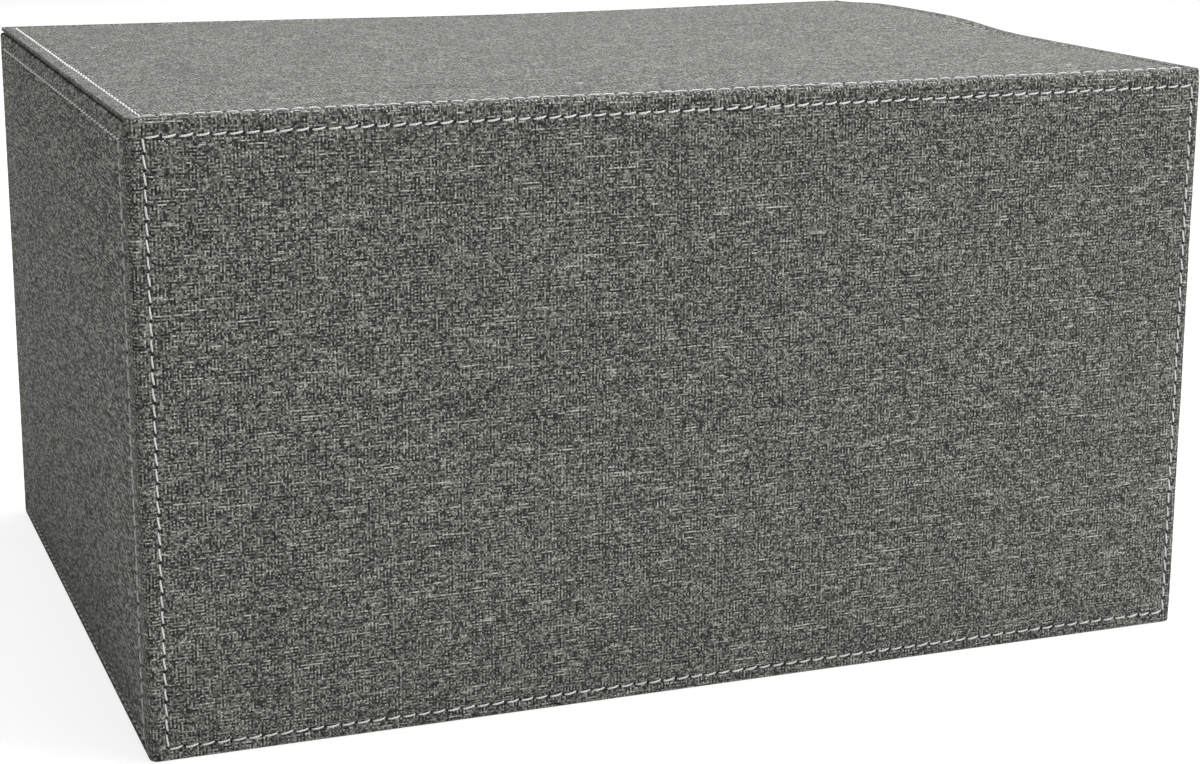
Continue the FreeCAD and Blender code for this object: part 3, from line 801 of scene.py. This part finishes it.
def make_lid():
    """The lid's cloth, which goes over the fold to the back as the hinge, with its stitches."""
    end = FOLD + FOLD_RUN
    rows = Frame(-(HALF_WIDTH - LID_END), HALF_WIDTH - LID_END, -HALF_DEPTH + LID_FRONT,
                 HALF_DEPTH - LID_BACK, tight=("low", "left"))
    lines = [FOLD + FOLD_RUN * f for f in (0, 0.2, 0.4, 0.6, 0.8)]
    panel = Panel("lid_wrap", (-LID_HALF, -HALF_DEPTH), (LID_HALF, end + LID_EDGE), LID_THICK,
                  LID_EDGE, on_lid, (rows,), crown=0.9, seed=4.1, lines_t=lines, warp=lid_warp)

    def open_end(s, t):
        return t > end - 0.01

    wrap = panel.cover(cloth, open_end)
    stitches = panel.stitches("lid_stitches", thread)
    show(stitches, "lid", "cover_cloth")
    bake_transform(wrap)
    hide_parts("lid_cover", "hinge_cloth")


def covered(name, node, axes, margins, body, seed, crown):
    """A flat covered panel that takes the place of one CAD cover."""
    low, high = (np.array(v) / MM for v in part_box(node))
    width, height, depth = (abs((high - low) @ np.array(axis)) for axis in axes)
    zones = ()
    if margins:
        left, right, bottom, top = margins
        zones = (Frame(left, width - right, bottom, height - top),)
    panel = Panel(name, (0.0, 0.0), (width, height), depth, FACE_EDGE, facing(low, *axes),
                  zones, crown=crown, seed=seed)
    show(panel.cover(cloth), body, "cover_cloth", node)
    if margins:
        show(panel.stitches(name.replace("wrap", "stitches"), thread), body, "cover_cloth")


# Directions of s, t and n on a panel that faces forwards, and on one that faces down.
FRONT_AXES = ((1, 0, 0), (0, 0, 1), (0, -1, 0))
DOWN_AXES = ((1, 0, 0), (0, 1, 0), (0, 0, -1))

make_walls()
make_lid()
covered("front_wrap", "front_panel_cover", FRONT_AXES, FACE_MARGINS, "box", 2.2, 0.35)
covered("drawer_face_wrap", "drawer_face_cover", FRONT_AXES, FACE_MARGINS, "drawer", 3.7, 0.35)
covered("base_wrap", "base_panel_cover", DOWN_AXES, None, "box", 5.5, 0.0)


# ---- linings ------------------------------------------------------------------------------------

TRAY_CORNER = 1.2       # radius of a tray lining's upright corners
LOOP_STEP = 12          # about how far apart the points round it are


def rounded_loop(low, high, radius, sides=6):
    """Points round a rectangle with rounded corners."""
    lx, ly, hx, hy = low[0], low[1], high[0], high[1]
    loop = []
    for cx, cy, start in ((hx - radius, hy - radius, 0), (lx + radius, hy - radius, 90),
                          (lx + radius, ly + radius, 180), (hx - radius, ly + radius, 270)):
        for k in range(sides + 1):
            a = math.radians(start + 90 * k / sides)
            loop.append((cx + radius * math.cos(a), cy + radius * math.sin(a)))
    points = []
    for (ax, ay), (bx, by) in zip(loop, loop[1:] + loop[:1]):
        count = max(1, round(math.hypot(bx - ax, by - ay) / LOOP_STEP))
        points += [(ax + (bx - ax) * k / count, ay + (by - ay) * k / count) for k in range(count)]
    return np.array(points)


def tray_lining(name, node, body):
    """Felt glued round the inside of an open box."""
    low, high = (np.array(v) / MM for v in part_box(node))
    tall = high[2] - low[2]
    outside = [(0.0, low[2] + tall * f) for f in (0, 0.2, 0.4, 0.6, 0.8, 1.0)]
    inside = [(FELT, z) for _, z in reversed(outside[1:])]
    inside += [(FELT + 0.12, low[2] + FELT + 0.5), (FELT + 0.6, low[2] + FELT)]
    loop = rounded_loop(low, high, TRAY_CORNER)
    way = loop - np.clip(loop, low[:2] + TRAY_CORNER, high[:2] - TRAY_CORNER)
    way /= np.linalg.norm(way, axis=1)[:, None]
    rings = []
    for inset, z in outside + inside:
        swell = 0.0
        if inset == FELT and z < high[2] - 1:
            swell = 0.12 * (1 + ripple(loop[:, 0], loop[:, 1] + z * 1.3, 2.0, 47.0))[:, None]
        ring = loop - way * (inset + swell)
        rings.append(np.column_stack([ring, np.full(len(ring), z)]))
    count = len(rings[0])
    faces = []
    for r in range(len(rings) - 1):
        for k in range(count):
            nxt = (k + 1) % count
            faces.append((r * count + k, r * count + nxt, (r + 1) * count + nxt,
                          (r + 1) * count + k))
    faces.append(tuple(reversed(range(count))))
    faces.append(tuple((len(rings) - 1) * count + k for k in range(count)))
    lining = make_object(name, np.concatenate(rings), faces, felt)
    lining.data.set_sharp_from_angle(angle=SHARP_ANGLE)
    show(lining, body, "flannel", node)


tray_lining("compartment_felt", "compartment_lining", "box")
tray_lining("drawer_felt", "drawer_lining", "drawer")


def sheet_piece(name, s_lines, t_lines, place, material, thickness):
    """A thin piece from a grid, given thickness behind it, or in front where it is negative."""
    s, t = np.meshgrid(s_lines, t_lines, indexing="ij")
    faces = grid_faces(np.arange(s.size).reshape(s.shape))
    thing = make_object(name, place(s.ravel(), t.ravel()), faces, material)
    thicken(thing, thickness)
    return thing


def make_lid_lining():
    """The felt under the lid, out to the cloth's hem."""
    low, high = (np.array(v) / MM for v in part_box("lid_lining"))
    low[0], high[0] = HEM - LID_HALF, LID_HALF - HEM

    def place(s, t):
        z = np.full(s.shape, LID_LOW) - 0.1 * (1 + ripple(s, t, 6.0, 50.0))
        edge = np.minimum(np.minimum(s - low[0], high[0] - s), np.minimum(t - low[1], high[1] - t))
        z += 0.2 * (1 - smooth(edge, 0.0, 1.5))
        return lid_warp(np.stack([s, t, z], 1))

    def lines(a, b):
        return np.concatenate([[a, a + 0.5, a + 1.5], np.linspace(a + 12, b - 12, 24),
                               [b - 1.5, b - 0.5, b]])

    felt_sheet = sheet_piece("lid_felt", lines(low[0], high[0]), lines(low[1], high[1]), place,
                             felt, -FELT)
    show(felt_sheet, "lid", "flannel", "lid_lining")


def make_lid_board():
    """The lid's board, between its cloth and its felt."""
    low, high = (np.array(v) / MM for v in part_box("lid_board"))
    reach = LID_HALF - CLOTH

    def place(s, t):
        return lid_warp(np.stack([s, t, np.full(s.shape, LID_LOW + CLOTH)], 1))

    core = sheet_piece("lid_core", np.linspace(-reach, reach, 30),
                       np.linspace(low[1] + 0.1, high[1], 24), place, greyboard,
                       CLOTH * 2 + 0.1 - LID_THICK)
    show(core, "lid", "greyboard", "lid_board")


def make_end_boards():
    """Each end wall's board, rounded at the box's back corner, ends under the lid."""
    turns = [math.radians(a) for a in range(0, 91, 15)]
    round_off = CORNER - CLOTH
    for node, side in (("end_board_left", -1), ("end_board_right", 1)):
        low, high = (np.array(v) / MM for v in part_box(node))
        outer, inner = (high[0], low[0]) if side > 0 else (low[0], high[0])
        outline = [(inner, low[1]), (outer, low[1])]
        outline += [(outer - side * round_off * (1 - math.cos(a)),
                     high[1] - round_off * (1 - math.sin(a))) for a in turns]
        outline.append((inner, high[1]))
        if side < 0:
            outline.reverse()
        count = len(outline)
        points = [(x, y, z) for z in (low[2], WALL_TOP - CLOTH) for x, y in outline]
        faces = [(k, (k + 1) % count, count + (k + 1) % count, count + k) for k in range(count)]
        faces += [tuple(reversed(range(count))), tuple(range(count, count * 2))]
        core = make_object(node.replace("board", "core"), np.array(points), faces, greyboard)
        show(core, "box", "greyboard", node)


def make_hinge_lining():
    """A felt strip from the inside of the back to the underside of the lid."""
    low, high = (np.array(v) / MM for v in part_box("hinge_lining"))
    high[2] = LID_LOW
    radius = 1.0            # of its bend
    down = high[2] - low[2] - radius
    turn = radius * math.pi / 2
    across = high[1] - low[1] - radius

    def place(s, t):
        angle = np.clip((t - down) / radius, 0, math.pi / 2)
        y = high[1] - radius + radius * np.cos(angle) - np.maximum(t - down - turn, 0)
        z = low[2] + np.minimum(t, down) + radius * np.sin(angle)
        return lid_warp(np.stack([s, y, z], 1))

    t_lines = np.concatenate([np.linspace(0, down, 8), down + turn * np.array([0.25, 0.5, 0.75]),
                              np.linspace(down + turn, down + turn + across, 16)])
    strip = sheet_piece("hinge_felt", np.linspace(low[0], high[0], 40), t_lines, place, felt, 0.45)
    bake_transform(strip)
    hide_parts("hinge_lining")


make_lid_lining()
make_lid_board()
make_end_boards()
make_hinge_lining()


# ---- boards and metal ---------------------------------------------------------------------------

def dress_frame():
    """Each CAD node gets the material of its slot, whether it stays or is replaced."""
    finish = {"cover_cloth": cloth, "greyboard": greyboard, "fibreboard": fibreboard,
              "flannel": felt, "knob_metal": knob_metal, "zinc_steel": zinc}
    slots = {part["node"]: part["material_slot"] for part in frame["record"]["subparts"]}
    for name, node in frame["nodes"].items():
        material = finish.get(slots.get(name), greyboard)
        for slot in node.material_slots:
            slot.material = material


dress_frame()


# ---- floor, light and camera --------------------------------------------------------------------

FLOOR_LEVEL = -0.11                             # the base's cloth rests on its high spots
FLOOR_RADII = (400.0, 2000.0, 9000.0, 40000.0)
FLOOR_SIDES = 96


def make_floor():
    """A wide pale floor: white to the camera, apart from the object's soft shadow."""
    g = Graph("studio_floor")
    path = g.add("LightPath")
    seen = g.calc("MAXIMUM", path.outputs["Is Camera Ray"],
                  g.calc("MAXIMUM", path.outputs["Is Glossy Ray"],
                         path.outputs["Is Transmission Ray"]))
    place = g.add("TexCoord").outputs["Object"]
    grain = g.noise(place, 40.0, 2.0)
    tint = g.ramp(grain, (0.3, (0.79, 0.785, 0.77)), (0.7, (0.80, 0.795, 0.78)))
    plain = g.add("BsdfDiffuse", {"Color": tint})
    dim = g.add("BsdfDiffuse", {"Color": (0.24, 0.24, 0.24, 1)})
    glow = g.add("Emission", {"Color": (1, 1, 1, 1), "Strength": 0.84})
    both = g.add("AddShader", {0: dim.outputs[0], 1: glow.outputs[0]})
    mixed = g.add("MixShader", {0: seen, 1: plain.outputs[0], 2: both.outputs[0]})
    output = g.add("OutputMaterial")
    g.tree.links.new(mixed.outputs[0], output.inputs[0])

    around = FLOOR_SIDES
    points = [(0.0, 0.0, FLOOR_LEVEL)]
    points += [(r * math.cos(2 * math.pi * k / around), r * math.sin(2 * math.pi * k / around),
                FLOOR_LEVEL) for r in FLOOR_RADII for k in range(around)]
    faces = [(0, 1 + k, 1 + (k + 1) % around) for k in range(around)]
    for ring in range(len(FLOOR_RADII) - 1):
        low = 1 + ring * around
        for k in range(around):
            nxt = (k + 1) % around
            faces.append((low + k, low + around + k, low + around + nxt, low + nxt))
    make_object("studio_floor", points, faces, g.material)


def make_world():
    """A weak soft light from all round, and plain white to the camera."""
    world = bpy.data.worlds.new("studio")
    bpy.context.scene.world = world
    world.use_nodes = True
    tree = world.node_tree
    tree.nodes.clear()
    soft = tree.nodes.new("ShaderNodeBackground")
    soft.inputs["Color"].default_value = (1.0, 0.99, 0.93, 1)
    soft.inputs["Strength"].default_value = 0.15
    white = tree.nodes.new("ShaderNodeBackground")
    white.inputs["Color"].default_value = (1, 1, 1, 1)
    path = tree.nodes.new("ShaderNodeLightPath")
    mix = tree.nodes.new("ShaderNodeMixShader")
    output = tree.nodes.new("ShaderNodeOutputWorld")
    tree.links.new(path.outputs["Is Camera Ray"], mix.inputs[0])
    tree.links.new(soft.outputs[0], mix.inputs[1])
    tree.links.new(white.outputs[0], mix.inputs[2])
    tree.links.new(mix.outputs[0], output.inputs[0])


def area_light(name, place, target, size, power, colour):
    """A round lamp that faces its target. Places and sizes are in metres."""
    light = bpy.data.lights.new(name, "AREA")
    light.shape = "DISK"
    light.size = size
    light.energy = power
    light.color = colour
    lamp = bpy.data.objects.new(name, light)
    lamp.location = place
    lamp.rotation_euler = (Vector(target) - Vector(place)).to_track_quat("-Z", "Y").to_euler()
    bpy.context.scene.collection.objects.link(lamp)


# The camera, fitted to the box's corners and rows of stitches in the photo. Metres and degrees.
CAMERA_PLACE = (0.27156, 0.75188, 0.26592)
CAMERA_AZIMUTH, CAMERA_ELEVATION, CAMERA_ROLL = 20.868, 12.868, 0.13
CAMERA_LENS = 72.04
CAMERA_SHIFT = -52 / 1200


def make_camera():
    """The photo's camera."""
    azimuth, elevation, roll = (math.radians(v) for v in
                                (CAMERA_AZIMUTH, CAMERA_ELEVATION, CAMERA_ROLL))
    data = bpy.data.cameras.new("camera")
    data.lens = CAMERA_LENS
    data.sensor_width = 36.0
    data.shift_y = CAMERA_SHIFT
    data.clip_end = 100.0
    camera = bpy.data.objects.new("camera", data)
    forward = Vector((-math.sin(azimuth) * math.cos(elevation),
                      -math.cos(azimuth) * math.cos(elevation), -math.sin(elevation)))
    turn = forward.to_track_quat("-Z", "Y").to_matrix().to_4x4()
    camera.matrix_world = (Matrix.Translation(CAMERA_PLACE) @ turn
                           @ Matrix.Rotation(roll, 4, "Z"))
    bpy.context.scene.collection.objects.link(camera)
    bpy.context.scene.camera = camera


make_floor()
make_world()
area_light("overhead", (-0.4, 0.1, 1.7), (-0.1, 0, 0.1), 1.5, 41.0, (0.97, 0.985, 1.0))
area_light("behind_right", (-1.75, 1.5, 1.1), (0, 0, 0.1), 1.2, 23.0, (1.0, 1.0, 1.0))
area_light("drawer_side", (-0.9, -1.9, 1.1), (0, 0, 0.1), 1.4, 12, (1.0, 0.995, 0.98))
area_light("end_fill", (1.6, -0.2, 0.55), (0, 0, 0.1), 0.8, 0.3, (1.0, 0.97, 0.5))
make_camera()
bpy.context.scene.view_settings.view_transform = "Standard"
